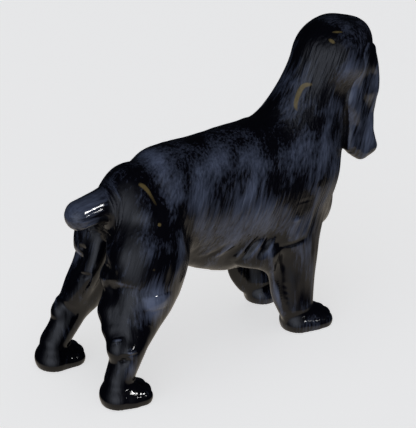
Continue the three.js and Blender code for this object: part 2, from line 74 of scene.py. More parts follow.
# %% Driving sizes
rump_top, loin_top, back_top, withers_top = 113.0, 116.5, 117.5, 118.0
chest_bottom, coat_bottom = 49.0, 41.0
rump_half_width, hip_half_width, loin_half_width = 17.5, 21.5, 22.5
rib_half_width, chest_half_width = 26.0, 24.0
rump_back, breast_forward = 38.0, 58.5
crown_top, skull_forward, head_turn = 162.0, 89.0, math.radians(35)
skull_half = np.array([20.5, 18.2, 16.5])
skull_middle = crown_top - skull_half[2]
skull_squareness = 2.6
neck_half_width, neck_half_depth = 16.5, 17.5
nose_forward, muzzle_half_width, muzzle_half_height = 37.0, 8.5, 10.5
eye_radius, nose_half_width = 3.2, 4.2
ear_top, ear_base, ear_length = 3.0, 16.5, 60.0
strand_half_thickness = 4.0
fore_leg_forward = {-1: 52.5, 1: 55.0}
fore_leg_spread, stifle_spread = 18.0, 19.0
fore_leg_cut, hind_leg_cut = 46.0, 62.0
hind_paw_back = {-1: 61.5, 1: 69.5}
hock_back = {-1: 58.5, 1: 61.5}
hind_paw_spread = {-1: 27.0, 1: 22.5}
hock_height, pastern_half_width, paw_half_width = 28.0, 7.5, 11.0
fore_paw_length, hind_paw_length, toe_radius, toes_per_paw = 32.0, 30.0, 4.2, 4
tail_root_back, tail_tip_back, tail_height, tail_half_thickness = 50.0, 68.0, 94.0, 8.0
vent_radius, vent_forward = 5.0, 2.0

# %% [markdown]
# ## Clay forms as distances
#
# A dog has no hard parts that a tube or a patch could be: each limb melts into the body. So every form
# is written as a distance, negative inside the clay and positive outside it. Two distances can be
# joined with a fillet, like a thumb drawn along the joint, or one can be pressed out of the other. The
# whole skin is then the place where the distance is zero. A patchwork of surfaces would show its seams
# in so bright a glaze, which is why this way was chosen.

# %% Points, smooth lines and ovals
REACH = 21.0


def near_box(low, high, exact):
    """A form's exact distance within REACH of the box between two corners, and the distance to the box
    further off. Points that all lie further off are answered at once."""
    def distance(p):
        if (p.min(0) > high + REACH).any() or (p.max(0) < low - REACH).any():
            return np.full(len(p), REACH, np.float32)
        out = np.maximum(low - p, p - high).max(1)
        d = np.maximum(out, 0)
        near = out < REACH
        d[near] = exact(p[near])
        return d

    return distance


def at(forward, left, up):
    """A place on the dog as x, y, z: left is +x and forward is -y."""
    return np.array([left, -forward, up], np.float32)


def smooth_spans(points, even=False):
    """Catmull-Rom: each span is a cubic a + b w + c w^2 + d w^3 through its two ends, whose slopes there
    come from the neighbouring points. Spans are timed by the square root of their length, unless even;
    then they are timed alike and level off at both ends. Returns the coefficients of every span."""
    p = np.asarray(points, float)
    knots = np.vstack([p[1], p, p[-2]] if even else [2 * p[0] - p[1], p, 2 * p[-1] - p[-2]])
    p0, p1, p2, p3 = knots[:-3], knots[1:-2], knots[2:-1], knots[3:]
    if even:
        m1, m2 = 0.5 * (p2 - p0), 0.5 * (p3 - p1)
    else:
        pairs = ((p0, p1), (p1, p2), (p2, p3))
        d0, d1, d2 = (np.linalg.norm(b - a, axis=1)[:, None] ** 0.5 for a, b in pairs)
        m1 = ((p1 - p0) / d0 - (p2 - p0) / (d0 + d1) + (p2 - p1) / d1) * d1
        m2 = ((p2 - p1) / d1 - (p3 - p1) / (d1 + d2) + (p3 - p2) / d2) * d1
    c, d = 3 * (p2 - p1) - 2 * m1 - m2, 2 * (p1 - p2) + m1 + m2
    return np.stack([p1, m1, c, d]).astype(np.float32)


def oval(x, y, z, a, b, c):
    """Distance to an ellipsoid with half sizes a, b, c: k0 (k0 - 1) / k1, where k0 is the point's
    length in units of the half sizes and k1 the same with each part divided twice."""
    k0 = np.sqrt((x / a) ** 2 + (y / b) ** 2 + (z / c) ** 2)
    k1 = np.sqrt((x / a**2) ** 2 + (y / b**2) ** 2 + (z / c**2) ** 2)
    return k0 * (k0 - 1) / np.maximum(k1, 1e-6)


def square_oval(x, y, z, a, b, c, power):
    """The same for an oval squarer than an ellipse, with the squares replaced by a higher power."""
    u, v, w = np.abs(x / a), np.abs(y / b), np.abs(z / c)
    k0 = (u**power + v**power + w**power) ** (1 / power)
    slope = power - 1
    k1 = np.sqrt((u**slope / a) ** 2 + (v**slope / b) ** 2 + (w**slope / c) ** 2)
    return (k0 - 1) * k0**slope / np.maximum(k1, 1e-6)


# %% [markdown]
# ## Lofts, lumps and fillets
#
# A loft carries an oval section along a bone line: the stations say where the line goes and how wide
# and deep the clay is there. A lump is a single oval. The fillet is a polynomial smooth minimum.

# %% Lofts, lumps and fillets
def loft(stations, side=(1, 0, 0)):
    """Oval section along a smooth line through stations [forward, left, up, half width, half depth].
    For each point, the nearest place on the line is guessed from samples and mended by two steps of
    Newton's method; the distance is then the one to the section there, and past an end to its cap."""
    stations = np.asarray(stations, float)
    line = smooth_spans([at(f, l, u) for f, l, u in stations[:, :3]])
    size = smooth_spans(stations[:, 3:], even=True)
    side = np.array(side, np.float32)
    last = line.shape[1]
    times = np.linspace(0, last, 8 * last + 1).astype(np.float32)

    def on_line(t, spans):
        i = np.minimum(t.astype(np.int32), last - 1)
        w = (t - i)[:, None]
        a, b, c, d = spans[:, i]
        return a + w * (b + w * (c + w * d)), b + w * (2 * c + 3 * w * d), 2 * c + 6 * w * d

    samples = on_line(times, line)[0]
    widest = on_line(times, size)[0].max(1)[:, None]

    def exact(q):
        t = times[((samples**2).sum(1) - 2 * q @ samples.T).argmin(1)]
        for _ in range(2):
            c, along, bend = on_line(t, line)
            r = c - q
            length2 = (along**2).sum(1)
            curve = np.maximum((r * bend).sum(1), -0.6 * length2)
            t = np.clip(t - (r * along).sum(1) / (length2 + curve), 0, last).astype(np.float32)
        c, along, _ = on_line(t, line)
        r = q - c
        along /= np.sqrt((along**2).sum(1))[:, None]
        s = side - along * (along @ side)[:, None]
        s /= np.sqrt((s**2).sum(1))[:, None]
        n = np.cross(along, s)
        w = on_line(t, size)[0]
        return oval((r * s).sum(1), (r * n).sum(1), (r * along).sum(1), w[:, 0], w[:, 1], w.min(1))

    return near_box((samples - widest).min(0), (samples + widest).max(0), exact)


def lump(place, half, along=(1, 0), power=2):
    """One oval; its length lies level along the direction (forward, left)."""
    centre = at(*place)
    u = at(*along, 0) / math.hypot(*along)
    half = np.asarray(half, np.float32)
    across = np.array([u[1], -u[0], 0], np.float32)

    def exact(p):
        q = p - centre
        parts = (q @ u, q @ across, q[:, 2], *half)
        return oval(*parts) if power == 2 else square_oval(*parts, power)

    return near_box(centre - half.max(), centre + half.max(), exact)


def fillet(radius, a, b):
    """Union of two distances, with the corner between them filled: the lesser one, less a cubic bump
    that is a quarter of the radius high where both are equal. It leaves no kink in a reflection."""
    reach = 1.5 * radius
    h = np.maximum(reach - np.abs(a - b), 0) / reach
    return np.minimum(a, b) - h * h * h * radius / 4


def press(radius, a, b):
    """Takes b out of a, with the rim eased."""
    return -fillet(radius, -a, b)


# %% [markdown]
# ## Trunk, neck and tail
#
# The trunk is one barrel from the rump to the breast, deepest behind the elbows, with the long coat of
# the belly as a second form under it. The neck runs up and forward from the withers, and the docked
# tail is a blunt stub that stands out level.

# %% Trunk, neck and tail
trunk_base = loft([
    [-rump_back, 0, rump_top - 22, rump_half_width, 22],
    [-27, 0, loin_top - 27, hip_half_width, 27],
    [-14, 0, back_top - 29, loin_half_width, 29],
    [3, 0, back_top - 32, 23.5, 32],
    [20, 0, (back_top + chest_bottom) / 2, rib_half_width, (back_top - chest_bottom) / 2],
    [40, 0, (withers_top + chest_bottom) / 2 - 1, rib_half_width, (withers_top - chest_bottom) / 2 - 1],
    [breast_forward, 0, 85, chest_half_width + 1, 27],
])
coat = loft([
    [-16, 0, coat_bottom + 23, 9, 8],
    [2, 0, coat_bottom + 13.5, 11, 10],
    [22, 0, coat_bottom + 7, 11.5, 10],
    [48, 0, coat_bottom + 12, 13, 10],
    [70, 0, coat_bottom + 22, 15, 16],
])
neck = loft([
    [breast_forward + 1.5, 0, 94, 22, 25],
    [breast_forward + 10, 0, withers_top - 8.5, 20, 23.5],
    [skull_forward - 13, 0, skull_middle - 20, neck_half_width + 1, neck_half_depth + 3],
    [skull_forward - 6.5, 0, skull_middle - 5.5, neck_half_width - 0.5, neck_half_depth + 0.8],
])
tail = loft([
    [-tail_root_back + 14, 0, tail_height + 2, 9, 9],
    [-tail_root_back - 4, 0, tail_height + 1.5, tail_half_thickness, tail_half_thickness],
    [-tail_tip_back, 0, tail_height - 0.5, tail_half_thickness - 0.5, tail_half_thickness - 0.5],
])

# %% [markdown]
# ## Head
#
# The head is turned to the dog's left. The skull is a flat-topped dome, with a brow over each eye, and
# the muzzle is square and deep, with hanging lips. Each eye is a ball sunk in a socket between two lids.

# %% Head
head_side = at(-math.sin(head_turn), math.cos(head_turn), 0)


def of_head(forward, left, up):
    """A place measured along the turned head from the middle of the skull, as forward, left, up."""
    c, s = math.cos(head_turn), math.sin(head_turn)
    return [skull_forward + forward * c - left * s, forward * s + left * c, skull_middle + up]


def head_lump(place, half, power=2):
    return lump(of_head(*place), half, (math.cos(head_turn), math.sin(head_turn)), power)


def head_loft(stations, side=None):
    return loft([[*of_head(*s[:3]), *s[3:]] for s in stations], head_side if side is None else side)


skull = head_lump((-1, 0, 0), skull_half, skull_squareness)
brow = head_lump((10, 0, 0.5), (9, 12.5, 7.6))
cheeks = head_lump((6, 0, -9), (12, 15, 10))
muzzle = head_loft([
    [8, 0, -9, muzzle_half_width + 2, muzzle_half_height],
    [20, 0, -10, muzzle_half_width + 0.5, muzzle_half_height],
    [nose_forward - muzzle_half_width, 0, -10.5, muzzle_half_width, muzzle_half_height - 0.5],
])
eye_spots = [(17.5, side * 9.6, 0.5) for side in (-1, 1)]
nose = head_lump((nose_forward - 1.5, 0, -4), (3.2, nose_half_width, 3.4))
nostrils = [head_lump((nose_forward + 0.9, side * 2.0, -4.4), (1.7, 0.95, 0.85)) for side in (-1, 1)]
sockets = [head_lump((f + 2.5, l * 1.1, u), (5, 4.5, 4)) for f, l, u in eye_spots]
eyes = [head_lump((f - 1.2, l * 0.93, u), (eye_radius,) * 3) for f, l, u in eye_spots]
lids = [head_loft([
    [f - 3.2, l * 1.24, u + 0.2, 0.9, 0.9],
    [f - 0.3, l * 1.16, u + 3.1 * lift, 1.1, 1.0],
    [f + 2.0, l * 0.86, u + 2.6 * lift, 1.1, 1.0],
    [f + 2.9, l * 0.58, u - 0.6, 0.8, 0.8],
]) for f, l, u in eye_spots for lift in (1, -1)]
lips = [head_loft([
    [14, side * 8.6, -13, 2.6, 3.4],
    [22, side * 7.8, -15.3, 2.6, 3.6],
    [30, side * 5.2, -14.6, 2.6, 3.6],
    [34.6, side * 1.6, -11.5, 2.2, 2.6],
]) for side in (-1, 1)]
chin = head_loft([[12, 0, -17, 7, 3], [22, 0, -19, 5.5, 2.8], [29, 0, -18, 3.6, 2.4]])
half_mouth = [(15, 11, -18.6), (24, 9.4, -18.6), (33, 5, -17)]
mouth_line = [*half_mouth, (36, 0, -15.4), *[(f, -l, u) for f, l, u in half_mouth[::-1]]]
mouth = head_loft([[*place, 0.8, 0.8] for place in mouth_line], side=(0, 0, 1))
philtrum = head_loft([[nose_forward + 1.4, 0, -7, 0.5, 0.5], [nose_forward + 0.4, 0, -14, 0.5, 0.5]])


def head(p):
    """The skull, with each form joined to it or pressed out of it in this order."""
    d = skull(p)
    for join, radius, forms in (
        (fillet, 7, [muzzle]), (fillet, 6, [brow, cheeks]), (fillet, 2.5, lips), (fillet, 2, [chin]),
        (press, 3, sockets), (fillet, 0.4, eyes), (fillet, 0.7, lids), (press, 1.2, [mouth]),
        (fillet, 1, [nose]), (press, 0.6, nostrils), (press, 0.8, [philtrum]),
    ):
        for form in forms:
            d = join(radius, d, form(p))
    return d


# %% [markdown]
# ## Legs and paws
#
# The forelegs are straight posts with a fringe of hair down the back. The hind legs are stretched back,
# with a full thigh, a hock whose point stands out behind, and locks of breech hair behind the thigh.

# %% Legs and paws
def foreleg(side):
    front, spread = fore_leg_forward[side], side * fore_leg_spread
    return loft([
        [49.5, side * 13, 84, 13, 24],
        [(50 + front) / 2, side * 16, 64, 11, 18.6],
        [front + 0.8, side * 17.5, 46, 9, 12.2],
        [front + 0.5, spread, 30, 7.8, 10.5],
        [front + 0.5, spread, 14, 7.8, 9.5],
    ])


def hind_leg(side):
    hock, paw_back, spread = hock_back[side], hind_paw_back[side], hind_paw_spread[side]
    return loft([
        [-33, side * 12, 86, 13, 17],
        [-38, side * 17, 71, 14, 21.5],
        [-42, side * stifle_spread, 54, 12.5, 18.5],
        [-hock + 7.5, side * (stifle_spread + spread) / 2, hock_height + 11, 9.7, 13],
        [-hock, side * spread, hock_height, 7.8, 8.5],
        [-paw_back - 3, side * spread, hock_height - 15, pastern_half_width - 0.3, 7.4],
    ])


def paw(forward, left, side, length):
    heel = [forward - 1, left, 4, paw_half_width - 1, 9]
    ball = [forward + length - 3 * paw_half_width + 8, left + side, 3, paw_half_width - 0.5, 9]
    pad = loft([heel, ball])
    toes = []
    for s in np.linspace(-0.5, 0.5, toes_per_paw):
        place = (ball[0] + 6.2 - 9 * s * s, ball[1] + s * 2 * (paw_half_width - toe_radius), 3.2)
        toes.append(lump(place, (toe_radius + 1.4, toe_radius, toe_radius + 1.2)))

    def distance(p):
        d = pad(p)
        for toe in toes:
            d = fillet(1.2, d, toe(p))
        return d

    return distance


def breech(side):
    """A ridge of hair behind the inside of the thigh. On the right it swells into three locks."""
    t = np.linspace(0, 1, 7)
    swell = np.array([4, 6.8, 5, 7.2, 5.2, 7.4, 6]) if side < 0 else np.linspace(4.5, 6, 7)
    back = 47.5 + 11.5 * t**0.8 + 3 * t**2
    out = side * (13 - 5 * np.sin(math.pi * t) + 6 * t**2)
    return loft(np.stack([-back, out, 82 - 44 * t, swell, swell], 1))


def fringe(side):
    """The long hair down the back of a foreleg, a fin that draws in above the heel."""
    spread, fuller = side * fore_leg_spread, 1.5 if side > 0 else 0
    return loft([
        [32.5, spread, 50, 4.5, 7 + fuller],
        [38.5, spread, 38, 3.8, 5 + fuller],
        [41.2, spread, 24, 3.4, 4.2 + 2 * fuller],
        [46, spread, 13, 3.2, 4.2 + fuller],
        [52, spread, 5, 3.2, 4],
    ])


limbs = []
for side in (-1, 1):
    spread, back, front = side * hind_paw_spread[side], hind_paw_back[side], fore_leg_forward[side]
    limbs.append((7, foreleg(side)))
    limbs.append((3, paw(front + 2, side * fore_leg_spread, side, fore_paw_length)))
    limbs.append((7, hind_leg(side)))
    limbs.append((3, paw(-back - 3.3, spread, side, hind_paw_length)))
    limbs.append((4, lump((-hock_back[side] - 6.5, spread, hock_height + 2), (5, 4.6, 5.5))))
    limbs.append((8 if side < 0 else 3, breech(side)))
    limbs.append((3, fringe(side)))
    limbs.append((6, lump((27.5, side * 16, 52), (13, 6.5, 9), (1, 0.2 * side))))
vent = loft([[vent_forward, 0, up, vent_radius, vent_radius] for up in (20, 58)])


def body(p):
    """The dog without its ears."""
    d = fillet(10, trunk_base(p), coat(p))
    d = fillet(14, d, neck(p))
    d = fillet(9, d, head(p))
    for radius, limb in limbs:
        d = fillet(radius, d, limb(p))
    d = fillet(5, d, tail(p))
    return np.maximum(press(1.5, d, vent(p)), -p[:, 2])


# %% [markdown]
# ## Ears
#
# A spaniel's ear is a long leather covered in wavy hair. Each one is a row of strands, thin lofts side
# by side that flare from the skull, wave a little on the way down and draw in towards the neck. They
# are luted on: where ear and head touch, a narrow fillet stands for the slip and the pooled glaze.

# %% Ears
strand_lengths = [0.86, 0.90, 0.94, 0.965, 0.965, 0.94]
wave_length, wave_height = 21.0, 0.5
ear_rear = {-1: (-10.5, 12.0), 1: (-5.0, 22.0)}
ear_front = {-1: (5.0, 19.0), 1: (10.0, 19.0)}
hem_heights = [6, -7, -14, -21, -28, -35, -44, -48, -53, -59, -66]
hem_draws_in = [0, 0, 0.6, 0, 1.3, 2.4, 1.9, 1.2, 0.2, 0.8, 0.8]
LUTE = 1.6


def eased(x, low, high):
    """0 below low, 1 above high, and 3 w squared less 2 w cubed between them."""
    w = np.clip((x - low) / (high - low), 0, 1)
    return w * w * (3 - 2 * w)


def ear(side):
    """Strands whose places run from the rear edge to the front hem of the ear. The hem draws in and
    out on its way down, and every strand follows it by its own share."""
    t = np.linspace(0, 1, 13)
    strands = []
    for j, share in enumerate(np.linspace(0, 1, len(strand_lengths))):
        down = ear_top - t * strand_lengths[j] * ear_length - 3 * abs(share - 0.4) * (1 - t)
        opened = np.minimum(1, 0.55 + 1.6 * t) * (1 - 0.3 * eased(t, 0.45, 0.85))
        wave = wave_height * np.sin(2 * math.pi * down / wave_length + 1.2 * j) * np.minimum(1, 3 * t)
        rear, front = ear_rear[side], ear_front[side]
        along = rear[0] + (front[0] - rear[0]) * (0.4 + (share - 0.4) * opened)
        full = rear[1] + share * (front[1] - rear[1])
        flare = (full - ear_base) * np.minimum(1, 0.3 + 2.5 * t if side < 0 else 1.6 * t)
        hem = np.interp(down, hem_heights[::-1], hem_draws_in[::-1])
        out = ear_base + flare - share * hem
        thick = strand_half_thickness * (0.9 + 0.08 * (j % 2)) * (1 + 0.2 * t**5)
        stations = [[f, side * o, d, w, w] for f, o, d, w in zip(along + wave, out, down, thick)]
        strands.append(head_loft(stations))

    def distance(p):
        d = strands[0](p)
        for strand in strands[1:]:
            d = fillet(1.1, d, strand(p))
        return d

    return distance


ears = {side: ear(side) for side in (-1, 1)}


def luted(a, b):
    """The form a, filleted towards the form b, without b itself: the fillet's height is LUTE / 4."""
    return np.maximum(fillet(LUTE, a, b), a - LUTE / 4)


def dog_without_ears(p):
    d = body(p)
    return luted(luted(d, ears[-1](p)), ears[1](p))


def ear_on_dog(side):
    return lambda p: np.maximum(luted(ears[side](p), body(p)), -(body(p) + 1.2))


# %% [markdown]
# ## Wrapping the skin
#
# The distance is measured on a fine grid, but only near the surface: a coarse pass first finds the
# blocks that the skin can pass through. Each grid cell that the skin crosses gets one vertex, at the
# mean of the places where its edges are crossed, and each crossed grid edge gets one four-sided face.
# Blender's own remesher would do this from a mesh, but here no mesh exists yet, only the formula.

# %% Wrapping the skin
CHUNK = 8000
helpers = ThreadPoolExecutor(4)


def measured(form, points):
    """The form's distance at every point, in chunks that are worked out side by side."""
    chunks = [points[i:i + CHUNK] for i in range(0, len(points), CHUNK)]
    return np.concatenate(list(helpers.map(form, chunks)))


def by_neighbourhood(places, size):
    """The order that puts what lies in one cube of that size together, so that a chunk is compact."""
    return places[np.lexsort((places // size).T)]


def grid_values(form, low, cell, blocks, block):
    """The distance at every grid point; far from the skin, only its block's own distance."""
    middles = np.stack(np.meshgrid(*[np.arange(b) for b in blocks], indexing="ij"), -1).reshape(-1, 3)
    coarse = measured(form, (low + (middles + 0.5) * block * cell).astype(np.float32))
    near = by_neighbourhood(middles[np.abs(coarse) < 0.87 * block * cell + 2], 4)
    inner = np.stack(np.meshgrid(*[np.arange(block)] * 3, indexing="ij"), -1).reshape(-1, 3)
    cells = (near[:, None] * block + inner).reshape(-1, 3)
    values = coarse.reshape(blocks)
    for axis in range(3):
        values = np.repeat(values, block, axis)
    values[tuple(cells.T)] = measured(form, (low + cells * cell).astype(np.float32))
    values[0], values[-1], values[:, 0], values[:, -1], values[:, :, 0], values[:, :, -1] = [cell] * 6
    return values


def next_along(axis, others=slice(None)):
    """Two cuts of a grid: all but the last point along the axis, and the point after each of them."""
    first, second = [others] * 3, [others] * 3
    first[axis], second[axis] = slice(None, -1), slice(1, None)
    return tuple(first), tuple(second)


def wrap(form, low, high, cell, block=6):
    """Vertices and four-sided faces of the surface where form is zero."""
    low = np.asarray(low, np.float32)
    blocks = np.ceil((high - low) / (cell * block)).astype(int)
    counts = blocks * block
    values = grid_values(form, low, cell, blocks, block)
    inside = values < 0
    total = np.zeros((*(counts - 1), 3), np.float32)
    crossings = np.zeros(counts - 1, np.float32)
    for axis in range(3):
        lag, lead = next_along(axis)
        a, b = values[lag], values[lead]
        crossed = inside[lag] != inside[lead]
        share = np.where(crossed, a / np.where(crossed, a - b, 1), 0)
        u, v = [k for k in range(3) if k != axis]
        for du, dv in ((0, 0), (0, 1), (1, 0), (1, 1)):
            cut = [slice(None)] * 3
            cut[u] = slice(du, counts[u] - 1 + du)
            cut[v] = slice(dv, counts[v] - 1 + dv)
            hit = crossed[tuple(cut)]
            crossings += hit
            total[..., axis] += share[tuple(cut)]
            total[..., u] += du * hit
            total[..., v] += dv * hit
    used = by_neighbourhood(np.argwhere(crossings > 0), 20)
    number = np.full(counts - 1, -1)
    number[tuple(used.T)] = np.arange(len(used))
    vertices = low + cell * (used + total[tuple(used.T)] / crossings[tuple(used.T)][:, None])
    faces = []
    step = np.eye(3, dtype=int)
    for axis in range(3):
        lag, lead = next_along(axis, slice(1, -1))
        here = np.argwhere(inside[lag] != inside[lead]) + 1 - step[axis]
        u, v = step[(axis + 1) % 3], step[(axis + 2) % 3]
        around = [here - a * u - b * v for a, b in ((1, 1), (0, 1), (0, 0), (1, 0))]
        ring = np.stack([number[tuple(corner.T)] for corner in around], 1)
        faces.append(np.where(inside[tuple(here.T)][:, None], ring, ring[:, ::-1]))
    return vertices.astype(np.float32), np.concatenate(faces)


CORNERS = np.array([[1, -1, -1], [-1, -1, 1], [-1, 1, -1], [1, 1, 1]], np.float32)


def slope(form, places, step=0.1, ask=measured):
    """How the distance grows along x, y and z, and the distance itself, from the four corners of a
    small tetrahedron: each corner's distance times its direction, and the mean of the four."""
    around = np.stack([ask(form, places + step * corner) for corner in CORNERS])
    return np.einsum("ki,kj->ij", around, CORNERS) / (4 * step), around.mean(0)


def settle(form, vertices):
    """Moves each vertex onto the surface along the form's slope; gives the unit slope as its normal."""
    g, distance = slope(form, vertices)
    size2 = np.maximum((g**2).sum(1), 0.2)[:, None]
    return vertices - np.clip(distance[:, None] * g / size2, -0.4, 0.4), g / np.sqrt(size2)


def triangles(vertices, quads):
    """Each four-sided face as two triangles, split along its shorter diagonal."""
    a, b, c, d = vertices[quads.T]
    short = (((a - c) ** 2).sum(1) < ((b - d) ** 2).sum(1))[:, None]
    one = np.where(short, quads[:, [0, 1, 2]], quads[:, [1, 2, 3]])
    two = np.where(short, quads[:, [0, 2, 3]], quads[:, [1, 3, 0]])
    return np.concatenate([one, two])


cell = 0.75
body_low, body_high = np.array([-44, -127, -3]), np.array([44, 88, 168])
skin, quads = wrap(dog_without_ears, body_low, body_high, cell)
skin, skin_normals = settle(dog_without_ears, skin)
skin_faces = triangles(skin, quads)
print("dog without ears:", len(skin), "vertices,", len(skin_faces), "triangles")

# %% [markdown]
# ## Combed hair
#
# The modeller combed the wet clay with a wire tool: shallow grooves run down and a little back on the
# trunk, straight down on the legs and ears, and back along the tail. A lattice of seeded random values,
# stretched along the hair, gives such grooves. They are moved into the mesh itself along its normals,
# and the normals are turned by the grooves' own slope, so that the light reads them. Over the combing
# lie single strokes of a rounded tool: wavy locks behind the elbow and on the belly, the feather of
# the foreleg, folds at the flank and across the breech, and the knobs and the dimple of the hock.

# %% Combed hair
def lattice(size, seed):
    """Smooth noise from -1 to 1: random values on a lattice with that spacing in mm along x, y and z,
    blended between a cell's eight corners by 3 w squared less 2 w cubed along each axis."""
    table = np.random.default_rng(seed).uniform(-1, 1, (32, 32, 32)).astype(np.float32)
    size = np.asarray(size, np.float32)

    def value(p):
        q = p / size
        i = np.floor(q).astype(np.int32)
        w = q - i
        w = w * w * (3 - 2 * w)
        near, far = (i & 31).T, ((i + 1) & 31).T
        planes = []
        for x in (near[0], far[0]):
            a = table[x, near[1], near[2]] * (1 - w[:, 2]) + table[x, near[1], far[2]] * w[:, 2]
            b = table[x, far[1], near[2]] * (1 - w[:, 2]) + table[x, far[1], far[2]] * w[:, 2]
            planes.append(a * (1 - w[:, 1]) + b * w[:, 1])
        return planes[0] * (1 - w[:, 0]) + planes[1] * w[:, 0]

    return value


def combed(p):
    """Places in the hair's own directions: x and y across the hair, z along it. On the trunk and neck
    the hair runs back by 0.36 for each unit down, so y grows with the height over the elbows; on the
    tail the hair runs along y, so y and z change places."""
    back = 0.36 * np.maximum(p[:, 2] - 58, 0)
    on_tail = eased(p[:, 1], 48, 56) * eased(p[:, 2], 76, 84) * eased(-np.abs(p[:, 0]), -13, -9)
    y = (p[:, 1] + back) * (1 - on_tail) + (p[:, 2] - 90) * on_tail
    z = p[:, 2] * (1 - on_tail) + p[:, 1] * on_tail
    return np.stack([p[:, 0], y, z], 1)


def along_line(places, count=40):
    """That many places along the smooth line through the places [forward, left, up]."""
    a, b, c, d = smooth_spans([at(*place) for place in places])
    t = np.linspace(0, len(a), count)
    i = np.minimum(t.astype(int), len(a) - 1)
    w = (t - i)[:, None]
    return a[i] + w * (b[i] + w * (c[i] + w * d[i]))


def strokes(lines):
    """Strokes of a tool or brush, each with the sides of the dog it is on, its height, its width and
    its places [forward, out, up]: a bell across the smooth line, which fades towards both ends."""
    curves = []
    for sides, height, width, places in lines:
        for side in sides:
            line = along_line([(f, side * o, u) for f, o, u in places])
            fade = height * np.sqrt(np.sin(np.linspace(0.15, math.pi - 0.15, len(line))))
            curves.append((line, fade, width))

    def value(p):
        total = np.zeros(len(p))
        for line, fade, width in curves:
            reach = 2.8 * width
            near = ((p > line.min(0) - reach) & (p < line.max(0) + reach)).all(1)
            if near.any():
                away = p[near].astype(float)[:, None] - line
                away = (away**2).sum(2)
                total[near] += fade[away.argmin(1)] * np.exp(-away.min(1) / width**2)
        return total

    return value


grooves = [
    (0.26, lattice((5.5, 5.5, 26), 3)),
    (0.15, lattice((2.4, 2.4, 13), 5)),
]
waviness = lattice((11, 11, 11), 7)
BOTH, RIGHT, LEFT = (-1, 1), (-1,), (1,)
elbow_locks = [
    (BOTH, 1.1, 1.5, [[20.5, 20.5, 63], [17.5, 19.5, 59], [15, 17.8, 55], [12.5, 15.5, 51]]),
    (BOTH, 1.2, 1.6, [[28, 21.8, 62], [24.5, 20.8, 58], [21.5, 19.3, 53.5], [18.5, 16.5, 49]]),
    (BOTH, 1.1, 1.6, [[34, 23.3, 60], [31, 22.5, 56], [27.5, 20.8, 51], [24.5, 18.3, 46.5]]),
    (BOTH, -0.9, 1.2, [[24, 21.2, 63], [21, 20.2, 58.5], [18.2, 18.5, 54], [15.5, 16, 50]]),
    (BOTH, -0.9, 1.2, [[31, 22.8, 61], [28, 21.8, 57], [24.5, 20, 52], [21.5, 17.3, 47.5]]),
]
belly_locks = [
    (BOTH, 0.9, 1.7, [[10, 18.8, 61], [7, 17, 58], [3, 14.6, 55.5]]),
    (BOTH, 0.8, 1.7, [[1, 19, 62.5], [-2, 17, 60], [-6, 14, 58.5]]),
    (BOTH, -0.8, 1.3, [[5.5, 19, 62], [3, 17, 59], [-1.5, 14.3, 57]]),
]
foreleg_feather = [
    (BOTH, -0.7, 1.5, [[37.8, 23.3, 54.2], [44, 25.2, 55], [50, 26.3, 57]]),
    (BOTH, -0.35, 1.6, [[47, 25.2, 53], [43, 23.2, 42], [42.5, 22.5, 32], [44.5, 21.5, 20]]),
    (BOTH, 0.9, 1.7, [[30.6, 23.6, 53.7], [33.4, 21.8, 41.8], [38.5, 20.6, 24], [44.2, 19.6, 8]]),
]
rear_folds = [
    (BOTH, -1.2, 1.9, [[-23, 23, 93], [-22, 24.5, 85], [-21, 25.2, 76], [-21, 25.2, 67]]),
    (BOTH, -0.9, 1.3, [[-58, 4, 68], [-60.5, 9, 67], [-57, 17, 67]]),
    (BOTH, -0.9, 1.3, [[-61, 5, 55], [-61.5, 11, 54], [-57, 18, 54]]),
    (BOTH, -0.5, 1.8, [[-52, 8, 91], [-54, 9, 84], [-55, 9, 78]]),
    (BOTH, 2.0, 6.0, [[-44, 30, 56], [-45, 31, 48]]),
]
hock_knobs = [
    (RIGHT, 1.3, 2.6, [[-65.5, 28, 37], [-65.5, 29, 35]]),
    (RIGHT, 1.2, 2.4, [[-62, 34, 31.5], [-62, 34, 29.5]]),
    (RIGHT, -1.7, 1.9, [[-65.2, 33, 27.6], [-65.4, 33.1, 25.2]]),
    (RIGHT, 0.7, 1.4, [[-64, 31, 22], [-62.5, 32, 15], [-60, 33, 10]]),
    (LEFT, 1.3, 2.6, [[-68.5, 23.5, 37], [-68.5, 24.5, 35]]),
    (LEFT, -1.7, 1.9, [[-68.2, 28.5, 27.6], [-68.4, 28.6, 25.2]]),
]
shoulder_marks = [
    (BOTH, -0.3, 3.4, [[49.4, 27, 80.5], [49.4, 27, 78]]),
    (BOTH, 0.7, 2.2, [[45, 26.5, 70.8], [45, 26.5, 68]]),
]
tooled = strokes([*elbow_locks, *belly_locks, *foreleg_feather, *rear_folds, *hock_knobs, *shoulder_marks])


def relief(p, upright):
    """Height of the combing in mm. It fades where the surface faces up or down, on the muzzle and on
    the paws, where a second, slow waviness of the clay is all that is left."""
    q = combed(p)
    from_skull = np.linalg.norm(p - at(*of_head(26, 0, -8)), axis=1)
    hairy = upright * eased(from_skull, 18, 30) * eased(p[:, 2], 10, 20)
    height = 0.14 * waviness(p) * eased(from_skull, 12, 24) + tooled(p)
    for depth, noise in grooves:
        height += depth * hairy * noise(q)
    return height


def comb(vertices, normals, step=0.25):
    """Moves the skin out by the relief and turns each normal against the relief's slope."""
    upright = 0.25 + 0.75 * np.sqrt(np.maximum(1 - normals[:, 2] ** 2, 0))
    g, height = slope(relief, vertices, step, lambda form, p: form(p, upright))
    g -= normals * (g * normals).sum(1, keepdims=True)
    turned = normals - g
    turned /= np.linalg.norm(turned, axis=1, keepdims=True)
    return vertices + normals * height[:, None], turned


# %% [markdown]
# ## Castings
#
# The skin is parted where the real castings were luted: at the neck, the tail and the tops of the legs.
# Along each joint plane, the nearer end of every edge that crosses it slides along the edge onto the
# plane. Then no triangle crosses the plane, and the two castings share the same rim. Each is closed
# with a flat cap that nobody sees, so that it is a solid like the clay one.

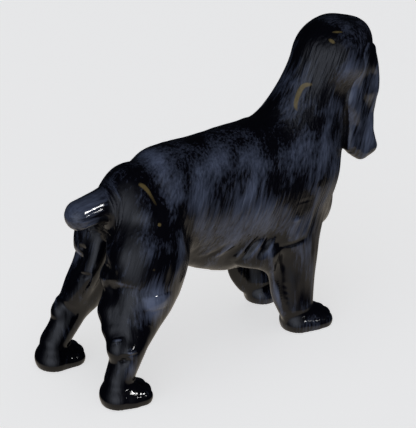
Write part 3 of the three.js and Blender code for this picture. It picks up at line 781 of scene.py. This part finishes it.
# %% Joint planes
neck_joint = (at(breast_forward + 1.5, 0, withers_top - 12), at(0.55, 0, 0.83))
tail_joint = (at(-tail_root_back - 8.5, 0, tail_height), at(-1, 0, 0.2))
fore_joints = {side: (
    at(fore_leg_forward[-1], side * fore_leg_spread, fore_leg_cut), at(0.3, 0.8 * side, -1),
) for side in (-1, 1)}
hind_joints = {side: (
    at(-42, side * stifle_spread, hind_leg_cut), at(-0.5, 0, -1),
) for side in (-1, 1)}
middle = (at(0, 0, 0), at(0, 1, 0))


def beyond(plane, places):
    """How far each place is on the side that the plane's normal points to."""
    point, normal = plane
    return (places - point) @ (normal / np.linalg.norm(normal))


def slide_onto(plane, vertices, faces, chosen):
    """Slides the nearer end of each crossing edge of the chosen faces onto the plane."""
    side = beyond(plane, vertices)
    edges = faces[chosen][:, [0, 1, 1, 2, 2, 0]].reshape(-1, 2)
    crossing = edges[side[edges[:, 0]] * side[edges[:, 1]] < 0]
    nearer = np.abs(side[crossing]).argmin(1)
    rows = np.arange(len(crossing))
    stay, move = crossing[rows, 1 - nearer], crossing[rows, nearer]
    share = side[move] / (side[move] - side[stay])
    step = (vertices[stay] - vertices[move]) * share[:, None]
    longest_first = np.argsort(-np.linalg.norm(step, axis=1))
    target = vertices[move] + step
    vertices[move[longest_first]] = target[longest_first]


def part_skin(vertices, faces):
    """The casting that each triangle belongs to, by number in CASTINGS."""
    centre = vertices[faces].mean(1)
    left, front = centre[:, 0] > 0, -centre[:, 1] > 10
    high_back = (centre[:, 1] > 40) & (centre[:, 2] > 70)
    slide_onto(neck_joint, vertices, faces, beyond(neck_joint, centre) > -5)
    slide_onto(tail_joint, vertices, faces, high_back)
    for side in (-1, 1):
        own = left == (side > 0)
        slide_onto(fore_joints[side], vertices, faces, own & front)
        slide_onto(hind_joints[side], vertices, faces, own & ~front & ~high_back)
    low_back = ~front & (centre[:, 2] < hind_leg_cut)
    slide_onto(middle, vertices, faces, low_back & (beyond(hind_joints[1], centre) > 0))

    def past(plane):
        side = beyond(plane, vertices)[faces]
        return side.sum(1) > 0

    left = vertices[faces][:, :, 0].sum(1) > 0
    which = np.zeros(len(faces), int)
    which[past(neck_joint)] = CASTINGS.index("head")
    which[past(tail_joint) & high_back] = CASTINGS.index("tail")
    for side, name in ((-1, "right"), (1, "left")):
        own = left == (side > 0)
        which[own & front & past(fore_joints[side]) & (which == 0)] = CASTINGS.index("foreleg_" + name)
        which[own & ~front & past(hind_joints[side]) & (which == 0)] = CASTINGS.index("hind_leg_" + name)
    return which


CASTINGS = ["trunk", "head", "tail", "foreleg_right", "foreleg_left", "hind_leg_right", "hind_leg_left"]
casting = part_skin(skin, skin_faces)
print({name: int((casting == k).sum()) for k, name in enumerate(CASTINGS)})

# %% Moulded ears
ear_skins = {}
for side, name in ((-1, "ear_right"), (1, "ear_left")):
    form = ear_on_dog(side)
    low, high = np.array([-44, -127, 72]), np.array([44, -52, 168])
    vertices, quads = wrap(form, low, high, 0.8 * cell)
    vertices, normals = settle(form, vertices)
    ear_skins[name] = (vertices, normals, triangles(vertices, quads))
    print(name, len(vertices), "vertices")

# %% [markdown]
# ## What the painter needs to know
# The glaze is brushed on, so its look follows the form: it pools dark in the hollows, and the brush
# follows the hair. Six things are therefore kept on the mesh for the material to read: the hair's own
# directions, how hollow the surface is, how dark and how bare the painter left each place, how coarse
# the combing is, and where the eyes are. The darkness also holds painted shade along the top of the
# back and neck, and a painted sheen that lightens the tail and the left pastern.

# %% Hollows, brushed patches and painted light
def hollowness(form, vertices, normals, reach=2.5):
    """0.5 on a flat place, more in a hollow, less on a ridge: how much nearer the clay is than
    expected, at a place that far out along the normal."""
    found = measured(form, (vertices + reach * normals).astype(np.float32))
    return np.clip(0.5 + (reach - found) / reach * 1.2, 0, 1)


# Dark glaze patches, with painted shade along the top of the back and neck, and a painted sheen that
# lightens the tail and the left pastern.
glaze_patches_and_painted_light = strokes([
    # the middle of the back and of the neck: painted shade on the top
    (LEFT, 1.0, 10, [
        [-38, 0, 108], [-10, 0, 117], [15, 0, 118], [40, 0, 118], [56, 0, 122], [68, 2, 138], [74, 3, 152],
    ]),
    # loin, shoulder, withers and rump
    (BOTH, 0.7, 5, [[-17, 10, 115], [-18, 17, 108], [-19, 20, 100]]),
    (BOTH, 0.9, 6, [[30, 25, 98], [33, 26, 92], [35, 26.5, 86]]),
    (BOTH, 0.9, 7, [[28, 14, 113], [36, 17, 109], [42, 17, 110]]),
    (BOTH, 0.8, 7, [[-44, 6, 108], [-34, 10, 110]]),
    # thigh and flank
    (BOTH, 0.9, 4.5, [[-36, 20, 104], [-36, 24, 92], [-38, 27, 82]]),
    (BOTH, 0.8, 5, [[-38.5, 29, 76], [-39, 30, 70]]),
    (BOTH, 0.7, 4, [[-26, 24, 90], [-26, 24.5, 84]]),
    # the two dark ovals on the shoulder
    (BOTH, 2.2, 4.0, [[49.4, 26.5, 82], [49.4, 26.5, 77]]),
    (BOTH, 2.2, 3.8, [[60.2, 25.6, 89], [60.2, 25.6, 84.5]]),
    # skull, throat and foreleg
    (RIGHT, 0.9, 5, [[70, -2, 152], [73, 8, 155]]),
    (BOTH, 0.8, 5, [[62, 16, 120], [63, 17, 113]]),
    (BOTH, 0.8, 3, [[34, 23, 50], [37, 22, 38], [42, 21, 20]]),
    # tail (lighter: painted sheen), side of the neck, left pastern (lighter: painted sheen)
    (LEFT, -0.9, 9, [[-62, 0, 97], [-80, 0, 97]]),
    (BOTH, 0.6, 9, [[69, 15, 136], [66, 17, 122]]),
    (LEFT, -0.7, 9, [[-64, 22, 34], [-68, 23, 14]]),
])


def painted_darker(places):
    """Darker on the legs, the rump and the skull than on the ribs and the neck."""
    legs = 0.45 * (1 - eased(places[:, 2], 45, 80))
    rump = 0.6 * eased(places[:, 1], 20, 40) * (1 - eased(places[:, 2], 92, 105))
    skull = 0.5 * eased(places[:, 2], 135, 150)
    return legs + rump + skull


def near_eyes(places):
    """1 in the middle of each eye, falling off as a bell over the eye's radius."""
    middles = [at(*of_head(f + 1.6, l * 1.12, u)) for f, l, u in eye_spots]
    return np.max([np.exp(-(((places - spot) / eye_radius) ** 2).sum(1)) for spot in middles], 0)


scraped = strokes([
    (RIGHT, 1.0, 1.5, [[65, 12.5, 135], [61, 9.5, 134], [58, 9, 129.5], [55.5, 10.5, 124], [56, 12.5, 121]]),
    (RIGHT, 0.8, 1.1, [[76, 9.3, 160.5], [82.5, 13.8, 160]]),
    (RIGHT, 0.8, 1.2, [[72.5, 10.5, 159.5], [77, 15, 154.5]]),
    (RIGHT, 0.9, 1.6, [[-41, 11, 107.5], [-38.7, 13.5, 106], [-37, 17, 102.5], [-36.2, 21.5, 97]]),
    (RIGHT, 0.45, 1.7, [[-45.3, 30.7, 71], [-45.3, 30.8, 68.5]]),
    (RIGHT, 0.8, 1.3, [[-37.6, 24, 90.5], [-37.7, 24.3, 88.5]]),
    (RIGHT, 0.5, 1.8, [[42, 25, 60.5], [42.3, 25, 58.5]]),
    (LEFT, 0.9, 1.9, [[20, 23, 100], [22, 25, 94]]),
    (LEFT, 0.8, 1.8, [[-50, 26, 80], [-49, 28, 75]]),
])


# %% [markdown]
# ## Making the meshes
#
# The dog's own frame is moved so that its box stands where the CAD model's box stands. Every vertex
# then gets its final place in metres, and every object stays at the origin.

# %% Making the meshes
whole = np.concatenate([skin, *[v for v, _, _ in ear_skins.values()]])
own_low, own_high = whole.min(0), whole.max(0)
own_middle = (own_low + own_high) / 2
cad_middle = [(a + b) / 2 / MM for a, b in zip(*cad_box)]
shift = np.array([cad_middle[0] - own_middle[0], cad_middle[1] - own_middle[1], 0])
print("dog's frame moved by", shift.round(2), "mm, size", (own_high - own_low).round(1))


def new_object(name, data):
    thing = bpy.data.objects.new(name, data)
    bpy.context.scene.collection.objects.link(thing)
    return thing


def cap_holes(mesh):
    """Closes each open rim with flat triangles; gives how many, and how many edges are still open."""
    before = len(mesh.polygons)
    bm = bmesh.new()
    bm.from_mesh(mesh)
    rims = [edge for edge in bm.edges if edge.is_boundary]
    caps = bmesh.ops.holes_fill(bm, edges=rims, sides=0)["faces"]
    bmesh.ops.triangulate(bm, faces=caps)
    left = sum(edge.is_boundary for edge in bm.edges)
    bm.to_mesh(mesh)
    bm.free()
    return len(mesh.polygons) - before, left


def make_piece(name, vertices, normals, faces, form, coarse=1):
    """An object of these triangles, with the slope's normals and what the painter needs."""
    used, index = np.unique(faces, return_inverse=True)
    places, upward = vertices[used].astype(np.float32), normals[used].astype(np.float32)
    mesh = bpy.data.meshes.new(name)
    mesh.from_pydata(((places + shift) * MM).tolist(), [], index.reshape(-1, 3).tolist())
    marks = {
        "hollow": hollowness(form, places, upward),
        # darkness: dark glaze patches, darker legs, rump and skull, painted shade along the top of the back,
        # and painted sheen on the tail and left pastern
        "dark": glaze_patches_and_painted_light(places) + painted_darker(places),
        "bare": scraped(places),
        "combing": coarse * eased(places[:, 2], 58, 76) * eased(-places[:, 1], -38, -20),
        "eye": near_eyes(places),
    }
    for key, values in marks.items():
        mesh.attributes.new(key, "FLOAT", "POINT").data.foreach_set("value", values.astype(np.float32))
    grain = mesh.attributes.new("grain", "FLOAT_VECTOR", "POINT")
    grain.data.foreach_set("vector", combed(places).astype(np.float32).ravel())
    capped, left_open = cap_holes(mesh)
    smooth = np.concatenate([np.ones(len(faces), bool), np.zeros(capped, bool)])
    mesh.polygons.foreach_set("use_smooth", smooth)
    corner_vertex = np.empty(len(mesh.loops), np.int32)
    mesh.loops.foreach_get("vertex_index", corner_vertex)
    flat = np.empty(3 * len(mesh.polygons), np.float32)
    mesh.polygons.foreach_get("normal", flat)
    flat = np.repeat(flat.reshape(-1, 3), 3, 0)
    corner_normals = np.where(np.repeat(smooth, 3)[:, None], upward[corner_vertex], flat)
    mesh.normals_split_custom_set(corner_normals.tolist())
    piece = new_object("glazed_" + name, mesh)
    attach(piece, "root")
    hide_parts(name)
    print(f"{piece.name}: {len(mesh.polygons)} triangles, {capped} in caps, {left_open} open edges")
    return piece


def ear_over_body(side):
    return lambda p: np.minimum(body(p), ears[side](p))


skin, skin_normals = comb(skin, skin_normals)
pieces = {}
for k, name in enumerate(CASTINGS):
    pieces[name] = make_piece(name, skin, skin_normals, skin_faces[casting == k], dog_without_ears)
for name, (vertices, normals, faces) in ear_skins.items():
    vertices, normals = comb(vertices, normals)
    form = ear_over_body(-1 if name == "ear_right" else 1)
    pieces[name] = make_piece(name, vertices, normals, faces, form, coarse=0)

# %% [markdown]
# ## Glaze
#
# The real finish is an earthenware glaze in two colours: a blue-black one, and over it a milky slate
# one dragged down the coat with a half-dry brush, under a clear coat that fires to a wet shine. To the
# eye that gives soft streaks that lie below a sharp reflection. So the streaks are in the base, which
# is fairly dull, and the shine is the shader's coat, which is smooth.

# %% Glaze
def linear(hex_colour):
    """An sRGB colour written in hex as linear red, green, blue and 1."""
    parts = [int(hex_colour[i:i + 2], 16) / 255 for i in (1, 3, 5)]
    return [c / 12.92 if c <= 0.04045 else ((c + 0.055) / 1.055) ** 2.4 for c in parts] + [1]


def add(tree, kind, inputs, **settings):
    """One node of that kind, with its settings, and each input set to a value or linked to a socket."""
    node = tree.nodes.new(kind)
    for key, value in settings.items():
        setattr(node, key, value)
    for key, value in inputs.items():
        if isinstance(value, bpy.types.NodeSocket):
            tree.links.new(value, node.inputs[key])
        else:
            node.inputs[key].default_value = value
    return node


def new_finish(name):
    finish = bpy.data.materials.new(name)
    finish.use_nodes = True
    finish.node_tree.nodes.clear()
    return finish, finish.node_tree


def kept(tree, name, output="Fac"):
    """What is kept on the mesh under that name."""
    return add(tree, "ShaderNodeAttribute", {}, attribute_name=name).outputs[output]


def noise_node(tree, places, detail, roughness=0.5):
    inputs = {"Vector": places, "Scale": 1, "Detail": detail, "Roughness": roughness}
    return add(tree, "ShaderNodeTexNoise", inputs).outputs[0]


def ranged(tree, value, low=0, high=1, to=(0, 1)):
    """The value moved from the range low to high to another range, and kept inside it."""
    inputs = {"Value": value, "From Min": low, "From Max": high, "To Min": to[0], "To Max": to[1]}
    return add(tree, "ShaderNodeMapRange", inputs).outputs[0]


def calculated(tree, operation, a, b):
    return add(tree, "ShaderNodeMath", {0: a, 1: b}, operation=operation).outputs[0]


def blended(tree, factor, a, b):
    """The colour a where the factor is 0, and b where it is 1."""
    inputs = {"Factor": factor, "A": a, "B": b}
    return add(tree, "ShaderNodeMix", inputs, data_type="RGBA").outputs["Result"]


STREAK, PATCH = (1.3, 1.3, 14), (13, 13, 20)


def brushed_glaze():
    """Blue-black glaze with slate streaks about 1.3 mm across and 14 mm long, in patches about 13 mm
    across and 20 mm long. Where the combing is coarse, the coat is rougher and less even."""
    finish, tree = new_finish("brushed_blue_black_glaze")
    grain = kept(tree, "grain", "Vector")
    brush, cloud = (
        add(tree, "ShaderNodeMapping", {"Vector": grain, "Scale": [1 / mm for mm in size]}).outputs[0]
        for size in (STREAK, PATCH))
    layers = {"Factor": 0.45, "A": noise_node(tree, brush, 3, 0.6), "B": noise_node(tree, cloud, 2)}
    both = add(tree, "ShaderNodeMix", layers).outputs[0]
    worn = calculated(tree, "SUBTRACT", both, kept(tree, "hollow"))
    # The kept darkness brings dark glaze patches, painted shade along the top of the back and a painted
    # sheen on the tail and left pastern.
    painted_light_and_patches = calculated(tree, "MULTIPLY", kept(tree, "dark"), 0.22)
    slate = ranged(tree, calculated(tree, "SUBTRACT", worn, painted_light_and_patches), -0.16, 0.28)
    colour = blended(tree, slate, linear("#0a0a11"), linear("#626b82"))
    colour = blended(tree, ranged(tree, kept(tree, "bare"), 0.35, 0.6), colour, linear("#70623f"))
    colour = blended(tree, ranged(tree, kept(tree, "eye"), 0.3, 0.42), colour, linear("#4a2c16"))
    combing = kept(tree, "combing")
    uneven = {
        "Strength": ranged(tree, combing, to=(0.2, 0.9)),
        "Distance": 0.0006,
        "Height": noise_node(tree, brush, 2),
    }
    bump = add(tree, "ShaderNodeBump", uneven).outputs[0]
    shader = add(tree, "ShaderNodeBsdfPrincipled", {
        "Base Color": colour,
        "Roughness": 0.5,
        "Specular IOR Level": 0.0,
        "Coat Weight": 1.0,
        "Coat Roughness": ranged(tree, combing, to=(0.09, 0.22)),
        "Coat IOR": 1.5,
        "Normal": bump,
        "Coat Normal": bump,
    })
    add(tree, "ShaderNodeOutputMaterial", {"Surface": shader.outputs[0]})
    return finish


glaze = brushed_glaze()
for piece in pieces.values():
    piece.data.materials.append(glaze)

# %% [markdown]
# ## Floor, light and camera
#
# A glazed black thing shows its surroundings more than itself: here a brown-grey ground, which shows in
# every surface that faces down, a dim room, which leaves the back almost black, and a weak glow of a
# window behind the dog, on its right. The photo's own ground was cut out, so the pale table here is lit
# by itself and isn't mirrored. The key and glint lamps light only the smooth castings, because the
# combed coat of trunk and head breaks up such a highlight. The camera looks from behind and above.

# %% Floor, light and camera
def aim(thing, target):
    """Turns a lamp or camera so that its own -z axis points at the target."""
    towards = np.subtract(target, thing.location)
    flat = math.hypot(towards[0], towards[1])
    thing.rotation_euler = (math.atan2(flat, -towards[2]), 0, math.atan2(-towards[0], towards[1]))


def lamp(name, direction, distance, size, watts, target):
    """A square soft lamp that far away from the target, in the direction forward, left, up."""
    light = bpy.data.lights.new(name, "AREA")
    light.size, light.energy = size, watts
    thing = new_object(name, light)
    d = at(*direction) / np.linalg.norm(direction)
    thing.location = np.array(target) + distance * d
    aim(thing, target)
    return thing


def dog_place(forward, left, up):
    """A place of the dog's frame, in metres in the scene."""
    return ((at(forward, left, up) + shift) * MM).tolist()


view_azimuth, view_elevation, view_distance = math.radians(235), math.radians(26.5), 0.9
view_target = dog_place(0, -11.7, 79.5)
outward = [
    math.sin(view_azimuth) * math.cos(view_elevation),
    -math.cos(view_azimuth) * math.cos(view_elevation),
    math.sin(view_elevation),
]
lens = bpy.data.cameras.new("long_lens")
SENSOR_MM, FRAME_PX, FOCAL_PX = 36, 416, 1785
lens.sensor_fit, lens.sensor_width, lens.lens = "HORIZONTAL", SENSOR_MM, FOCAL_PX / FRAME_PX * SENSOR_MM
lens.clip_start, lens.clip_end = 0.05, 20
camera = new_object("camera", lens)
camera.location = [t + view_distance * o for t, o in zip(view_target, outward)]
aim(camera, view_target)
bpy.context.scene.camera = camera

table_mesh = bpy.data.meshes.new("table")
table_mesh.from_pydata([(-3, -3, 0), (3, -3, 0), (3, 3, 0), (-3, 3, 0)], [], [(0, 1, 2, 3)])
table = new_object("table", table_mesh)
paper, tree = new_finish("matt_paper")
shader = add(tree, "ShaderNodeBsdfPrincipled", {
    "Base Color": linear("#e5e5e5"),
    "Roughness": 1.0,
    "Specular IOR Level": 0.0,
    "Emission Color": linear("#e5e5e5"),
    "Emission Strength": 0.8,
})
add(tree, "ShaderNodeOutputMaterial", {"Surface": shader.outputs[0]})
table_mesh.materials.append(paper)
table.visible_glossy = table.visible_diffuse = False


def lit(name, things):
    """A group of things, for a lamp that lights only them."""
    group = bpy.data.collections.new("lit_" + name)
    for thing in things:
        group.objects.link(thing)
    return group


coated = ("trunk", "head")
whole_dog = lit("dog", pieces.values())
smooth_parts = lit("smooth_parts", [piece for name, piece in pieces.items() if name not in coated])
combed_parts = lit("combed_parts", [pieces[name] for name in coated])
table_only = lit("table", [table])
BESIDE_CAMERA, LOW = (0.23, -0.82, 0.52), (0.3, -0.95, 0.1)
BEHIND, ABOVE = (-0.95, -0.3, 0.25), (0, 0, 1)
for name, direction, distance, size, watts, things, mirrored in [
    ("key", BESIDE_CAMERA, 1.2, 0.15, 3.4, smooth_parts, True),
    ("glint", LOW, 1.2, 0.06, 0.55, smooth_parts, True),
    ("body_key", BESIDE_CAMERA, 1.2, 0.15, 3.2, combed_parts, False),
    ("rear_fill", BEHIND, 1.2, 0.6, 1.6, whole_dog, False),
    ("table_light", ABOVE, 2.0, 3.0, 10.8, table_only, True),
]:
    light = lamp(name, direction, distance, size, watts, view_target)
    light.visible_glossy = mirrored
    light.light_linking.receiver_collection = things

world = bpy.data.worlds.new("dim_room")
bpy.context.scene.world = world
world.use_nodes = True
tree = world.node_tree
direction = add(tree, "ShaderNodeTexCoord", {}).outputs["Generated"]
height = add(tree, "ShaderNodeSeparateXYZ", {0: direction}).outputs["Z"]
window = at(-0.8, -0.6, 0.1) / np.linalg.norm((-0.8, -0.6, 0.1))
both_ways = {0: direction, 1: window.tolist()}
towards = add(tree, "ShaderNodeVectorMath", both_ways, operation="DOT_PRODUCT").outputs["Value"]
facing = calculated(tree, "MAXIMUM", towards, 0)
glow = calculated(tree, "POWER", facing, 5)
walls = blended(tree, glow, linear("#101216"), linear("#e6eeff"))
room = blended(tree, ranged(tree, height, -0.56, -0.44), linear("#a59d92"), walls)
tree.links.new(room, tree.nodes["Background"].inputs["Color"])
tree.nodes["Background"].inputs["Strength"].default_value = 1.2
bpy.context.scene.view_settings.view_transform = "Standard"
